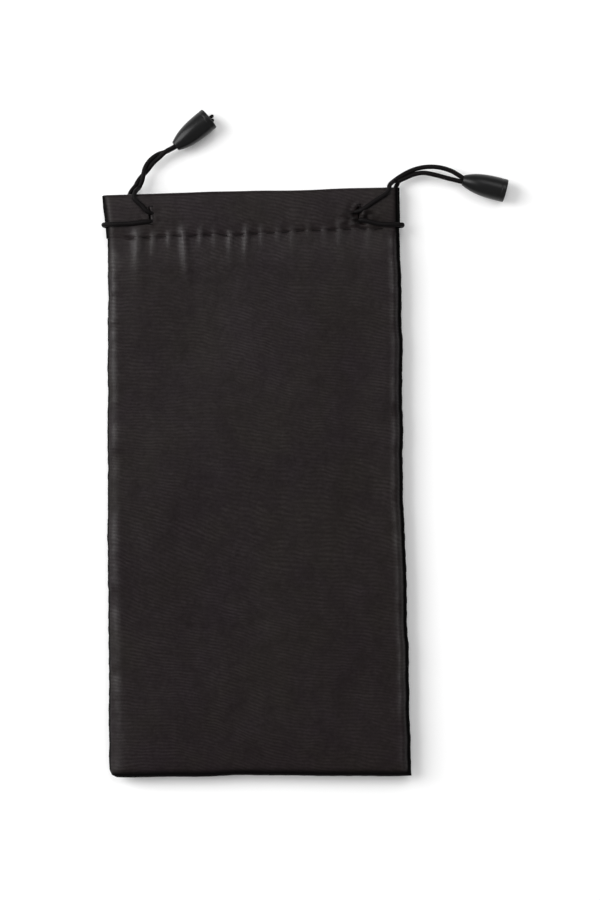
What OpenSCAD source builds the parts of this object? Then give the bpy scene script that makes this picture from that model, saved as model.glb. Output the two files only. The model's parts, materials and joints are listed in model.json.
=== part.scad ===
// Soft drawstring pouch for glasses, lying flat on its back panel.
// +X is to the right, +Y runs from the foot seam to the mouth, +Z is up.
// The origin is the middle of the pouch on the surface it rests on.

/* [Pouch] */
// Length from the foot seam to the mouth edge
pouch_len = 175; // [160:1:190]
// Width at the foot seam
foot_w = 89.8; // [88:0.2:94]
// Width at the mouth edge
mouth_w = 87.4; // [86:0.2:92]
// Thickness of the pouch when it lies flat
pouch_t = 8; // [8:0.1:9]
// Thickness of one layer of cloth, with its backing
skin_t = 0.5; // [0.4:0.05:0.6]
// Width of the sewn seam inside each edge
seam_w = 0.8; // [0.6:0.1:1.2]
// Radius of the foot corners
corner_r = 2; // [1:0.5:4]

/* [Hem and slits] */
// Depth of the hem, from the mouth edge to its stitch line
hem_d = 12.5; // [11:0.5:14]
// Thickness of the single cloth layers of the hem
hem_skin_t = 0.35; // [0.3:0.05:0.4]
// Distance of the slits from the middle
slit_x = 31; // [28:0.5:33]
// Length of a slit along the pouch
slit_l = 5.6; // [5.4:0.1:6]

/* [Cord] */
// Diameter of the braided cord
cord_d = 1.2; // [1:0.05:1.2]
// Length of the bare straight cord between the bend and the cord end
bare_len = 9.2; // [9:0.1:10]
// Length of the end stub beyond the knot of the left cord
left_stub = 7.4; // [4:0.1:8]
// Length of the end stub beyond the knot of the right cord
right_stub = 4.8; // [4:0.1:8]
// Direction of the left cord end, in degrees from +X
left_dir = 39.7; // [30:0.1:60]
// Direction of the right cord end, in degrees from +X
right_dir = -14.3; // [-30:0.1:10]

/* [Cord end] */
// Length of the bell-shaped cord end
bell_len = 13.2; // [13:0.1:15]
// Diameter of its wide end
bell_wide_d = 6.9; // [6.8:0.1:7.6]
// Diameter of its narrow end
bell_narrow_d = 3.4; // [3.2:0.1:3.8]

/* [Stitching] */
// Diameter of the sewing thread
thread_d = 0.4; // [0.3:0.05:0.4]
// Length of one stitch
stitch_len = 3.4; // [3:0.1:3.6]
// Distance from one stitch to the next
stitch_pitch = 4.6; // [4:0.1:6]

/* [Hidden] */
$fn = 32;

cloth_colour = [0.15, 0.135, 0.137];
cord_colour = [0.07, 0.07, 0.07];
thread_colour = [0.10, 0.09, 0.09];
plastic_colour = [0.05, 0.05, 0.05];

// Plan of the pouch
foot_half = foot_w / 2;
mouth_half = mouth_w / 2;
mouth_y = pouch_len / 2;
foot_y = -mouth_y;
hem_y = mouth_y - hem_d;

// Heights of one half, counted from the plane where the two halves meet
seam_z = pouch_t / 2;
seam_gap = 0.05;
edge_bevel = 1.4;
hem_slope = 6;
mouth_gap = 0.6;
cord_r = cord_d / 2;
overrun = 0.35 * cord_r;
cord_sides = 8;
cord_clear = 0.07;
tunnel_lo = mouth_gap + hem_skin_t;
tunnel_hi = tunnel_lo + cord_d + 2 * cord_clear;
hem_top = tunnel_hi + hem_skin_t;
cord_in_h = tunnel_lo + cord_clear + cord_r;
cord_out_h = hem_top + cord_clear + cord_r;
fold_d = 0.6;
past = 1;

// Course of the cords in plan
upper_y = mouth_y - 6.9;
lower_y = mouth_y - 9.3;
cross_half = 4;
lap_half = 3.2;
lap_clear = 0.02;
slit_half_w = 2.2;
slit_run = 1.35;
wrap_x = half_at(lower_y, 0) + 0.04 + cord_clear + cord_r;
exit_y = mouth_y + 0.1;
root_y = mouth_y + 1.45;
left_front_x = -36.2;
left_back_x = -38.2;
right_front_x = 39.6;
right_back_x = 41.6;

// Tails: the two ends of a cord leave the mouth and run together to the cord end
pair_h = 3.5 - seam_z;
pair_off = cord_r + 0.05;
hinge_gap = 0.9;
left_hinge = [-31.25, mouth_y + 7.2];
right_hinge = [52.7, mouth_y + 5.3];

// Cord end and the knot inside it
bell_bore_r = cord_r + pair_off + 0.03;
bell_cavity_r = 2.35;
bell_shoulder = 4.8;
bell_rim = 0.3;
bell_steps = 16;
bell_power = 3;
knot_r = 2;
knot_at = 7.2;
stub_r = 0.9;

thread_r = thread_d / 2;
thread_sink = 0.08;

// Half width of the pouch at height y up the pouch, less an inset
function half_at(y, inset) =
  foot_half + (mouth_half - foot_half) * (y - foot_y) / pouch_len - inset;

// Direction in plan, as a unit vector, for an angle from +X
function heading(a) = [cos(a), sin(a)];

// A plan point lifted to a height
function at_height(p, h) = [p[0], p[1], h];

// A straight bar from point a to point b, round or with a number of flat sides
module bar(a, b, r, sides = $fn) {
  d = b - a;
  translate(a)
    rotate([0, acos(d[2] / norm(d)), atan2(d[1], d[0])])
      cylinder(h = norm(d), r = r, $fn = sides);
}

// Cord laid through a list of points; each straight runs a little past its bends
module cord_run(points) {
  for (i = [0 : len(points) - 2]) {
    a = points[i];
    b = points[i + 1];
    past_bend = (b - a) / norm(b - a) * overrun;
    bar(a - past_bend, b + past_bend, cord_r, cord_sides);
  }
}

// A row of straight stitches from plan point a to plan point b, at height h
module stitch_row(a, b, h) {
  run = norm(b - a);
  count = floor(run / stitch_pitch);
  dir = (b - a) / run;
  spare = (run - (count - 1) * stitch_pitch) / 2;
  for (i = [0 : count - 1]) {
    mid = a + dir * (spare + i * stitch_pitch);
    bar(
      at_height(mid - dir * stitch_len / 2, h),
      at_height(mid + dir * stitch_len / 2, h),
      thread_r
    );
  }
}

// Places a half of the pouch on the front, facing up, or turned over on the back, where
// its left and right are exchanged
module on_front() translate([0, 0, seam_z]) children();
module on_back() translate([0, 0, seam_z]) rotate([0, 180, 0]) children();

// Upright prism over the plan of the pouch, drawn in at the sides by an inset
module plan_prism(inset) {
  r = corner_r;
  low_x = half_at(foot_y + r, inset) - r;
  linear_extrude(height = pouch_t)
    polygon(concat(
      [for (a = [180 : 15 : 270]) [-low_x + r * cos(a), foot_y + r + r * sin(a)]],
      [for (a = [270 : 15 : 360]) [low_x + r * cos(a), foot_y + r + r * sin(a)]],
      [[half_at(mouth_y + past, inset), mouth_y + past]],
      [[-half_at(mouth_y + past, inset), mouth_y + past]]
    ));
}

// A profile in the Y and height plane, drawn across the whole width
module across(points) {
  rotate([90, 0, 90])
    linear_extrude(height = 2 * foot_w, center = true)
      polygon(points);
}

// Cross-section over the width, with bevelled edges, drawn along the whole length
module along() {
  translate([0, mouth_y + past, 0])
    rotate([90, 0, 0])
      linear_extrude(height = pouch_len + 2 * past)
        polygon([
          [-foot_half, 0], [foot_half, 0],
          [foot_half, seam_z - edge_bevel], [foot_half - edge_bevel, seam_z],
          [edge_bevel - foot_half, seam_z], [-foot_half, seam_z - edge_bevel]
        ]);
}

// Space for what the pouch holds, inside one half
module half_cavity() {
  step_y = hem_y - 0.8;
  step_h = seam_z - (seam_z - hem_top) * (hem_slope - 0.8) / hem_slope - skin_t;
  intersection() {
    translate([0, 0, -past]) plan_prism(seam_w);
    across([
      [foot_y + seam_w, -past],
      [foot_y + seam_w, seam_z - edge_bevel - skin_t],
      [foot_y + seam_w + edge_bevel, seam_z - skin_t],
      [hem_y - hem_slope, seam_z - skin_t],
      [step_y, step_h], [step_y, mouth_gap],
      [mouth_y + 2 * past, mouth_gap], [mouth_y + 2 * past, -past]
    ]);
  }
}

// Tunnel for the cords, inside the hem of one half
module hem_tunnel() {
  intersection() {
    plan_prism(seam_w);
    across([
      [hem_y + fold_d, tunnel_lo], [mouth_y - fold_d, tunnel_lo],
      [mouth_y - fold_d, tunnel_hi], [hem_y + fold_d, tunnel_hi]
    ]);
  }
}

// The two slits where the cords leave the tunnel
module slits() {
  for (s = [-1, 1])
    translate([s * slit_x - slit_half_w, (upper_y + lower_y - slit_l) / 2, cord_in_h])
      cube([2 * slit_half_w, slit_l, pouch_t]);
}

// One sewn cloth half: a shallow tray, open at the mouth, with its turned hem
module pouch_half() {
  difference() {
    intersection() {
      plan_prism(0);
      along();
      across([
        [foot_y, seam_gap], [foot_y, seam_z - edge_bevel], [foot_y + edge_bevel, seam_z],
        [hem_y - hem_slope, seam_z], [hem_y, hem_top],
        [mouth_y, hem_top], [mouth_y, seam_gap]
      ]);
    }
    half_cavity();
    hem_tunnel();
    slits();
  }
}

// Stitches along the hem of one half
module hem_stitches() {
  stitch_row([-half_at(hem_y, 3), hem_y + 0.3], [half_at(hem_y, 3), hem_y + 0.3],
    hem_top - thread_sink);
}

// Bar tacks across both ends of each slit of one half
module slit_stitches() {
  for (s = [-1, 1], e = [-1, 1])
    translate([
      s * slit_x,
      (upper_y + lower_y) / 2 + e * (slit_l / 2 + 0.5),
      hem_top - thread_sink
    ])
      rotate([0, 90, 0])
        cylinder(h = 2 * slit_half_w, r = thread_r, center = true);
}

// Stitches along one side seam, in the edge of the back half
module side_stitches(s) {
  low = foot_y + 4;
  high = lower_y - 3;
  stitch_row([s * half_at(low, thread_sink), low], [s * half_at(high, thread_sink), high],
    seam_z - 1);
}

// One cord where it lies on one half: out of the mouth, in at its own slit, through the
// tunnel, out at the far slit and round the far edge. s is -1 for the left cord.
module half_cord(s, mouth_x) {
  difference() {
    cord_run([
      [mouth_x, exit_y, cord_out_h],
      [s * (slit_x + slit_run), upper_y + 0.4, cord_out_h],
      [s * (slit_x - slit_run), upper_y, cord_in_h],
      [s * cross_half, upper_y, cord_in_h],
      [-s * cross_half, lower_y, cord_in_h],
      [-s * (slit_x - slit_run), lower_y, cord_in_h],
      [-s * (slit_x + slit_run), lower_y, cord_out_h],
      [-s * wrap_x, lower_y, cord_out_h],
      [-s * wrap_x, lower_y, seam_gap + overrun]
    ]);
    cord_lap(s);
  }
}

// The half of a cord that is pressed flat where the other cord crosses it
module cord_lap(s) {
  translate([
    -lap_half,
    (upper_y + lower_y) / 2 - lap_half,
    cord_in_h + (s < 0 ? lap_clear - cord_d : -lap_clear)
  ])
    cube([2 * lap_half, 2 * lap_half, cord_d]);
}

// The two strands between the mouth and the bend of a tail
module tail_root(s, front_x, back_x, hinge) {
  near = hinge - heading(atan2(hinge[1] - root_y, hinge[0] - front_x)) * hinge_gap;
  on_front() {
    cord_run([
      [front_x, root_y, cord_out_h - 0.4],
      at_height([front_x, root_y] * 0.55 + near * 0.45, pair_h + pair_off + 0.9),
      at_height(near, pair_h + pair_off)
    ]);
    cord_run([
      [back_x, root_y, -cord_out_h + 0.4],
      at_height([back_x, root_y] * 0.55 + near * 0.45, pair_h - pair_off - 0.9),
      at_height(near, pair_h - pair_off)
    ]);
  }
}

// The straight end of a tail: two strands, the knot that holds the cord end, and a stub
module tail_end(hinge, dir, stub) {
  first = hinge + heading(dir) * hinge_gap;
  last = hinge + heading(dir) * (bare_len + knot_at);
  on_front() {
    for (k = [-1, 1])
      cord_run([at_height(first, pair_h + k * pair_off), at_height(last, pair_h + k * pair_off)]);
    translate(at_height(last, pair_h)) sphere(r = knot_r);
    bar(at_height(last, pair_h), at_height(last + heading(dir) * stub, pair_h), stub_r);
  }
}

// Radius of the outside of the cord end, for t from 0 at the narrow end to 1
function bell_r(t) =
  bell_narrow_d / 2 + (bell_wide_d - bell_narrow_d) / 2 * (1 - pow(1 - t, bell_power));

// Bell-shaped cord end: a hollow that takes the knot and a bore for the two strands
module bell(hinge, dir) {
  on_front()
    translate(at_height(hinge + heading(dir) * bare_len, pair_h))
      rotate([0, 90, dir])
        rotate_extrude()
          polygon(concat(
            [for (i = [0 : bell_steps]) let (t = i / bell_steps)
              [bell_r(t), t * (bell_len - bell_rim)]],
            [[bell_wide_d / 2 - bell_rim, bell_len], [bell_cavity_r, bell_len]],
            [[bell_cavity_r, bell_shoulder], [bell_bore_r, bell_shoulder], [bell_bore_r, 0]]
          ));
}

module back_panel() {
  color(cloth_colour) on_back() pouch_half();
}

module back_hem_stitching() {
  color(thread_colour) on_back() hem_stitches();
}

module back_slit_stitching() {
  color(thread_colour) on_back() slit_stitches();
}

module left_seam_stitching() {
  color(thread_colour) side_stitches(-1);
}

module right_seam_stitching() {
  color(thread_colour) side_stitches(1);
}

module foot_seam_stitching() {
  color(thread_colour)
    stitch_row([-foot_half + 4, foot_y + thread_sink], [foot_half - 4, foot_y + thread_sink],
      seam_z - 1);
}

module left_cord_back() {
  color(cord_colour) on_back() half_cord(1, -left_back_x);
}

module right_cord_back() {
  color(cord_colour) on_back() half_cord(-1, -right_back_x);
}

module front_panel() {
  color(cloth_colour) on_front() pouch_half();
}

module front_hem_stitching() {
  color(thread_colour) on_front() hem_stitches();
}

module front_slit_stitching() {
  color(thread_colour) on_front() slit_stitches();
}

module left_cord_front() {
  color(cord_colour) on_front() half_cord(-1, left_front_x);
}

module right_cord_front() {
  color(cord_colour) on_front() half_cord(1, right_front_x);
}

module left_tail_root() {
  color(cord_colour) tail_root(-1, left_front_x, left_back_x, left_hinge);
}

module left_tail() {
  color(cord_colour) tail_end(left_hinge, left_dir, left_stub);
}

module left_cord_end() {
  color(plastic_colour) bell(left_hinge, left_dir);
}

module right_tail_root() {
  color(cord_colour) tail_root(1, right_front_x, right_back_x, right_hinge);
}

module right_tail() {
  color(cord_colour) tail_end(right_hinge, right_dir, right_stub);
}

module right_cord_end() {
  color(plastic_colour) bell(right_hinge, right_dir);
}

back_panel();
back_hem_stitching();
back_slit_stitching();
left_seam_stitching();
right_seam_stitching();
foot_seam_stitching();
left_cord_back();
right_cord_back();
front_panel();
front_hem_stitching();
front_slit_stitching();
left_cord_front();
right_cord_front();
left_tail_root();
left_tail();
left_cord_end();
right_tail_root();
right_tail();
right_cord_end();
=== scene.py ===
import json
import math
import random

import bpy
import numpy as np
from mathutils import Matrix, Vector, noise
from mathutils.bvhtree import BVHTree

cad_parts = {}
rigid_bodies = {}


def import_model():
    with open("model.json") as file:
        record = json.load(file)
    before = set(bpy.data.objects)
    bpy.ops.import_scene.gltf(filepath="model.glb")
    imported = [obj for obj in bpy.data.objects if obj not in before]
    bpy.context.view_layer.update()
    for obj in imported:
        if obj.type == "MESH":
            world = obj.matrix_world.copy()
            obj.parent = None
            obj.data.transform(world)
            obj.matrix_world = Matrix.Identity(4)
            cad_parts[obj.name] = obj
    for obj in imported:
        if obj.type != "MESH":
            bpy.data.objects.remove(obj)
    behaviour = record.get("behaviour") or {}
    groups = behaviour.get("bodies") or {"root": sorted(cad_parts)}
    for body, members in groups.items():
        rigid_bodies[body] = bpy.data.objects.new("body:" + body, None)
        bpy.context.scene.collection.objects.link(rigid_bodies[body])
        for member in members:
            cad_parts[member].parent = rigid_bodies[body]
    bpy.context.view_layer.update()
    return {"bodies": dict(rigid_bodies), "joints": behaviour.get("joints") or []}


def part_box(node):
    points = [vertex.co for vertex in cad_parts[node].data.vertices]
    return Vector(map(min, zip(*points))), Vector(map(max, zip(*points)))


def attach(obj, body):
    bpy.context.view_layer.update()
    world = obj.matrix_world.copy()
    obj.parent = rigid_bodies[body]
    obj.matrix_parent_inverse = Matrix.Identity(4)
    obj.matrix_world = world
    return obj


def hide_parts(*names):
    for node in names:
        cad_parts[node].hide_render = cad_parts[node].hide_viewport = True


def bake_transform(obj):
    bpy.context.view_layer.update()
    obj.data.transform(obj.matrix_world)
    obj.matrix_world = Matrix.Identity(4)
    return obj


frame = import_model()

# ---------------------------------------------------------------- sizes, in millimetres
MM = 0.001
panel_lo, panel_hi = (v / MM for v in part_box("front_panel"))
back_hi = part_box("back_panel")[1] / MM
hem_lo, hem_hi = (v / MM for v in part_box("front_hem_stitching"))
FOOT_Y, MOUTH_Y = panel_lo.y, panel_hi.y
HALF_W = panel_hi.x
LENGTH = MOUTH_Y - FOOT_Y
SEAM_Z = (panel_lo.z + back_hi.z) / 2
HEM_Y = (hem_lo.y + hem_hi.y) / 2
joints = {j["name"]: j for j in frame["joints"]}
HINGE = {s: Vector(joints[s + "_tail_swing"]["pos_m"]) / MM for s in ("left", "right")}
DRAW = joints["left_draw"]["range_m"][1] / MM
SLIDE = joints["left_end_slide"]["range_m"][1] / MM

# The cloth
CLOTH_T = 0.32
# How far in from each edge the panels round over: (share of the length, mm)
LEFT_ROUND = [(0, 5.4), (0.25, 4.4), (0.6, 3.2), (0.9, 2.4), (1, 2.2)]
RIGHT_ROUND = [(0, 3.4), (0.85, 3.2), (1, 2.2)]
FOOT_ROUND = 3.0
CORNER = 2.2
# Heights of the outside above the seam plane, and of the facing that is turned in at the mouth
BODY_H = {"front": 3.45, "back": 3.92}
HEM_H = 2.35
FACING_H = 0.45
FOLD_R = (HEM_H - 0.15 - FACING_H) / 2
HEM_SLOPE = 0.038
TOP_SLOPE = 0.026
STITCH_PITCH = 4.6
STITCH_LEN = 3.5
SLIT = {"left": Vector((-31.4, 79.7)), "right": Vector((30.4, 80.2))}
# Height, reach below the hem and half width of the ridge in each gap between hem stitches, left to right
PUCKERS = [
    (1.2, 8.0, 1.6), (0.8, 4.5, 0.9), (0.7, 3.2, 0.8), (1.2, 9.0, 1.15), (0.6, 3.0, 0.8), (0.5, 4.0, 0.9),
    (0.85, 5.5, 0.9), (0.9, 5.0, 0.9), (0.5, 3.5, 0.8), (0.4, 3.0, 0.9), (0.5, 5.0, 1.0), (0.3, 3.0, 0.8),
    (0.4, 4.0, 1.0), (0.55, 5.5, 1.1), (0.3, 3.0, 0.8), (0.5, 5.0, 1.2),
]
PUCKER_SEED = {"front": 11, "back": 23}
DRAPE_H = 0.75
SLIT_HALF_L = 2.5
SLIT_HALF_W = 0.22

# The cords: radius, sides of the mesh, step along the path, half the gap between paired strands
CORD_R = 0.7
CORD_SIDES = 24
BRAID_DEPTH = 0.16
PATH_STEP = 0.16
PAIR_OFF = 0.58


def smooth(x, lo, hi):
    t = np.clip((np.asarray(x, float) - lo) / (hi - lo), 0, 1)
    return t * t * (3 - 2 * t)


def hump(d, width):
    """1 at d = 0, falling off smoothly on both sides."""
    return np.exp(-((d / width) ** 2))


def through(x, knots):
    """A smooth curve through (place, value) knots."""
    xs, ys = zip(*knots)
    fine = np.linspace(xs[0], xs[-1], 240)
    flat = np.interp(fine, xs, ys)
    kernel = np.hanning(31)
    kernel /= kernel.sum()
    soft = np.convolve(np.pad(flat, 15, mode="edge"), kernel, mode="valid")
    return np.interp(x, fine, soft)


def wobble(values, seed, scale):
    """Smooth noise between -1 and 1 along a line of places."""
    flat = np.ravel(np.asarray(values, float))
    out = [noise.noise((v * scale, seed * 7.31, 0.37)) * 2 for v in flat]
    return np.array(out).reshape(np.shape(values))


def noise_field(x, y, scale, layer):
    """Smooth noise at places x, y of a plane, with a scale for each axis."""
    places = zip(np.ravel(x), np.ravel(y))
    out = [noise.noise((u * scale[0], v * scale[1], layer)) for u, v in places]
    return np.array(out).reshape(np.shape(x))


# Share of the length, and how far the edge stands outside the CAD half width
LEFT_OUT = [(0, -1.1), (0.5, -0.5), (0.8, -0.7), (0.91, -0.9), (0.955, 0.1), (1, 0.9)]
RIGHT_OUT = [(0, 1.3), (0.25, 0.2), (0.5, -1.2), (0.88, -1.7), (0.93, -2.5), (1, -2.5)]


def left_edge(y):
    share = (y - FOOT_Y) / LENGTH
    return -HALF_W - through(share, LEFT_OUT) + 0.14 * wobble(y, 1, 0.11) + 0.05 * wobble(y, 8, 0.5)


def right_edge(y):
    share = (y - FOOT_Y) / LENGTH
    return HALF_W + through(share, RIGHT_OUT) + 0.18 * wobble(y, 2, 0.12) + 0.06 * wobble(y, 9, 0.45)


def hem_shift(x):
    return HEM_SLOPE * x - 0.85 + 0.28 * wobble(x, 3, 0.11)


def top_shift(x):
    return TOP_SLOPE * x - 0.35 + 0.16 * wobble(x, 4, 0.09)


def foot_shift(x):
    return 0.2 * wobble(x, 5, 0.08) + 0.35 * smooth(x, -HALF_W, -HALF_W + 30)


def hem_line(x):
    return HEM_Y + hem_shift(x)


# ---------------------------------------------------------------- new objects
def new_object(name, data):
    obj = bpy.data.objects.new(name, data)
    bpy.context.scene.collection.objects.link(obj)
    return obj


def mesh_object(name, verts, faces):
    mesh = bpy.data.meshes.new(name)
    mesh.from_pydata(verts, [], faces)
    mesh.update()
    return new_object(name, mesh)


# ---------------------------------------------------------------- the cloth sheets
def side_samples(width):
    """Distances from an edge, closer together where the surface turns down."""
    return [width * (1 - math.cos(math.radians(a))) for a in (0, 8, 18, 30, 42, 54, 66, 78, 90)]


def column_shares():
    """Places across the pouch as shares of its width, with one at each slit."""
    wide = 2 * HALF_W
    edge = [d / wide for d in side_samples(3.6)]
    inner = np.linspace(edge[-1], 1 - edge[-1], 128)[1:-1]
    shares = np.array(edge + list(inner) + [1 - e for e in reversed(edge)])
    for slit in SLIT.values():
        left, right = left_edge(slit.y), right_edge(slit.y)
        want = (slit.x - left) / (right - left)
        shares[np.argmin(abs(shares - want))] = want
    return shares


def row_path():
    """(y, height) up the outside from foot to mouth, round the fold and back along the facing.
    The height is None on the outside, where outer_height gives it."""
    rows = [(FOOT_Y + d, None) for d in side_samples(FOOT_ROUND)]
    rows += [(y, None) for y in np.arange(FOOT_Y + FOOT_ROUND + 1.35, HEM_Y - 28, 1.35)]
    rows += [(y, None) for y in np.arange(rows[-1][0] + 0.75, HEM_Y - 1.9, 0.62)]
    rows += [(y, None) for y in np.arange(HEM_Y - 1.68, HEM_Y + 1.7, 0.28)]
    rows += [(y, None) for y in np.arange(HEM_Y + 2.0, MOUTH_Y - FOLD_R, 0.62)]
    mid = FACING_H + FOLD_R
    for a in (12, 35, 60, 90, 120, 150, 180):
        turn = math.radians(a)
        rows.append((MOUTH_Y - FOLD_R + FOLD_R * math.sin(turn), mid + FOLD_R * math.cos(turn)))
    rows += [(y, FACING_H) for y in np.arange(MOUTH_Y - FOLD_R - 1.0, HEM_Y + 1.6, -1.25)]
    rows += [(HEM_Y + 0.9, FACING_H + 0.1), (HEM_Y + 0.35, FACING_H + 0.5)]
    return rows


def outer_height(y, body_h, held):
    """Height of the outside above the seam plane. y is the place in the straight plan, and held
    is near 1 under a stitch of the hem and 0 between stitches."""
    base = body_h + (HEM_H + 0.15 - body_h) * smooth(y, HEM_Y - 10, HEM_Y + 0.6)
    base = base - 0.15 * smooth(y, MOUTH_Y - 4, MOUTH_Y - 1)
    groove = hump(y - HEM_Y, 0.4)
    dip = hump(y - HEM_Y, 1.9)
    return base - (0.08 + 0.34 * held) * groove - 0.22 * dip


def round_over(d, width):
    t = np.clip(d / width, 0, 1)
    return np.sqrt(np.clip(1 - (1 - t) ** 2, 0, 1))


def stitch_centres(lo, hi):
    count = int((hi - lo) / STITCH_PITCH)
    spare = (hi - lo - (count - 1) * STITCH_PITCH) / 2
    return [lo + spare + i * STITCH_PITCH for i in range(count)]


def hem_stitches():
    return np.array(stitch_centres(-HALF_W + 3.5, HALF_W - 4.5))


def under_stitch(x):
    """Near 1 under a stitch of the hem, more for some than for others, and 0 in the gaps."""
    gap = np.min(abs(np.asarray(x)[..., None] - hem_stitches()), axis=-1)
    tightness = 0.7 + 0.3 * wobble(x, 6, 0.23)
    return (1 - smooth(gap, STITCH_LEN / 2 - 0.5, STITCH_LEN / 2 + 0.15)) * tightness


def pucker_list(seed, strength):
    """Ridges that cross the hem between its stitches: (x, height, below, above, width, lean)."""
    rng = random.Random(seed)
    centres = hem_stitches()
    ridges = []
    for i, (a, b) in enumerate(zip(centres, centres[1:])):
        high, below, width = PUCKERS[i % len(PUCKERS)]
        ridges.append((
            (a + b) / 2 + rng.uniform(-0.3, 0.3),
            strength * high * rng.uniform(0.9, 1.1),
            below,
            rng.uniform(1.2, 3.2),
            width,
            rng.uniform(-0.1, 0.1),
        ))
    return ridges


def pucker_height(x, y, ridges):
    """Height that the ridges add at places x, y."""
    total = np.zeros_like(x)
    rel = y - hem_line(x)
    for mid, high, below, above, width, lean in ridges:
        reach = np.where(rel < 0, hump(rel, below), hump(rel, above))
        total += high * hump(x - mid - lean * rel, width) * reach
    return total


def side_puckers(d, y, seed, strength):
    """Small ridges square to a side seam, at distance d from it."""
    rng = random.Random(seed)
    total = np.zeros_like(y)
    for centre in stitch_centres(FOOT_Y + 5, HEM_Y - 3):
        mid = centre + STITCH_PITCH / 2 + rng.uniform(-0.8, 0.8)
        high = strength * rng.choice((0.0, 0.25, 0.5, 1.0)) * rng.uniform(0.7, 1.1)
        reach = rng.uniform(2.0, 5.0)
        total += high * hump(y - mid, 1.1) * hump(d, reach) * smooth(d, 0, 1)
    return total


def welt(d, y):
    """The right seam: a beaded ridge inside a lower strip."""
    ridge = hump(d - 2.3, 0.55) * (0.55 + 0.12 * np.sin(y * 2 * math.pi / 1.75))
    strip = -0.55 * hump(d - 1.1, 0.7)
    return (ridge + strip) * smooth(d, 0, 0.8)


def drape(x, y):
    """Slow rise and fall of cloth that lies slack over whatever is inside."""
    slow = noise_field(x, y, (0.030, 0.017), 3.1)
    fast = noise_field(x * 0.075 + y * 0.02, y, (1, 0.045), 9.4)
    return slow + 0.45 * fast


def bunching(x, y):
    """Crumpled cloth round the slits, where the cords have been pulled through."""
    total = np.zeros_like(x)
    for slit, high in ((SLIT["left"], 0.4), (SLIT["right"], 1.6)):
        near = hump(x - slit.x, 3.6) * hump(y - slit.y + 0.6, 2.6)
        for i, j in np.argwhere(near > 0.03):
            place = (x[i, j] * 0.5, y[i, j] * 0.75, slit.x)
            total[i, j] += high * near[i, j] * noise.noise(place) * 1.8
    return total


def slit_opening(y, slit):
    t = np.clip((y - slit.y) / SLIT_HALF_L, -1, 1)
    return SLIT_HALF_W * np.sqrt(1 - t * t)


def sheet_points(face):
    """Grid of points (rows, columns, 3) of one panel, with the straight-plan y of each row."""
    shares = column_shares()
    rows = row_path()
    base_y = np.array([r[0] for r in rows])
    given = np.array([np.nan if r[1] is None else r[1] for r in rows])
    body_h = BODY_H[face]
    grid_y = np.repeat(base_y[:, None], len(shares), 1)
    left, right = left_edge(base_y)[:, None], right_edge(base_y)[:, None]
    x = left + (right - left) * shares[None, :]
    top_w = smooth(grid_y, HEM_Y, MOUTH_Y)
    hem_w = smooth(grid_y, HEM_Y - 35, HEM_Y) * (1 - top_w)
    foot_w = 1 - smooth(grid_y, FOOT_Y, FOOT_Y + 30)
    y = grid_y + hem_w * hem_shift(x) + top_w * top_shift(x) + foot_w * foot_shift(x)
    d_left, d_right, d_foot = x - left, right - x, grid_y - FOOT_Y
    h = np.where(np.isnan(given)[:, None], outer_height(grid_y, body_h, under_stitch(x)), given[:, None])
    share = (grid_y - FOOT_Y) / LENGTH
    h = h * round_over(d_left, through(share, LEFT_ROUND))
    h = h * round_over(d_right, through(share, RIGHT_ROUND))
    h = h * round_over(d_foot, FOOT_ROUND)
    outside = np.isnan(given)[:, None] * np.ones_like(x)
    strength = 0.85 if face == "front" else 0.6  # of the puckers
    slack = smooth(np.minimum(d_left, d_right), 2, 12) * smooth(d_foot, 2, 14)
    slack = slack * (1 - 0.75 * smooth(grid_y, HEM_Y - 12, HEM_Y - 1))
    seed = PUCKER_SEED[face]
    bumps = pucker_height(x, y, pucker_list(seed, strength))
    bumps += side_puckers(d_left, y, seed + 1, 0.55) + side_puckers(d_right, y, seed + 2, 0.2)
    bumps += DRAPE_H * drape(x, y) * slack + bunching(x, y)
    bumps += welt(d_right, y) * (1 - smooth(grid_y, HEM_Y - 3, HEM_Y))
    bumps *= smooth(d_foot, 0, 5) * (1 - smooth(grid_y, MOUTH_Y - 5, MOUTH_Y - 2))
    h = h + bumps * outside * np.minimum(round_over(d_left, 2), round_over(d_right, 2))
    # the left foot corner is rounded
    corner = np.maximum(0, CORNER - d_left) * np.maximum(0, CORNER - d_foot) / (2 * CORNER)
    x = x + corner * 0.6
    y = y + corner * 0.6
    sign = 1 if face == "front" else -1
    return np.stack([x, y, SEAM_Z + sign * h], -1), base_y, outside[:, 0] > 0.5


def build_sheet(name, face):
    """The panel as a mesh with its slits, and the notes needed to simulate it."""
    grid, base_y, outside = sheet_points(face)
    n_rows, n_cols = grid.shape[:2]
    verts = [tuple(p) for p in grid.reshape(-1, 3)]
    index = np.arange(n_rows * n_cols).reshape(n_rows, n_cols)
    twin = {}
    for slit in SLIT.values():
        mid_row = int(np.argmin(abs(base_y - slit.y) + 1e3 * ~outside))
        col = int(np.argmin(abs(grid[mid_row, :, 0] - slit.x)))
        for r in range(n_rows):
            y = grid[r, col, 1]
            if outside[r] and abs(y - slit.y) < SLIT_HALF_L * 0.97:
                gap = float(slit_opening(y, slit))
                v = list(verts[index[r, col]])
                verts[index[r, col]] = (v[0] - gap, v[1], v[2])
                twin[r, col] = len(verts)
                verts.append((v[0] + gap, v[1], v[2]))
    faces = []
    for r in range(n_rows - 1):
        for c in range(n_cols - 1):
            a = twin.get((r, c), int(index[r, c]))
            d = twin.get((r + 1, c), int(index[r + 1, c]))
            quad = (a, int(index[r, c + 1]), int(index[r + 1, c + 1]), d)
            faces.append(quad if face == "front" else tuple(reversed(quad)))
    obj = mesh_object(name, verts, faces)
    notes = {"co": np.array(verts), "index": index, "base_y": base_y, "outside": outside, "twin": twin}
    return obj, notes


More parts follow.
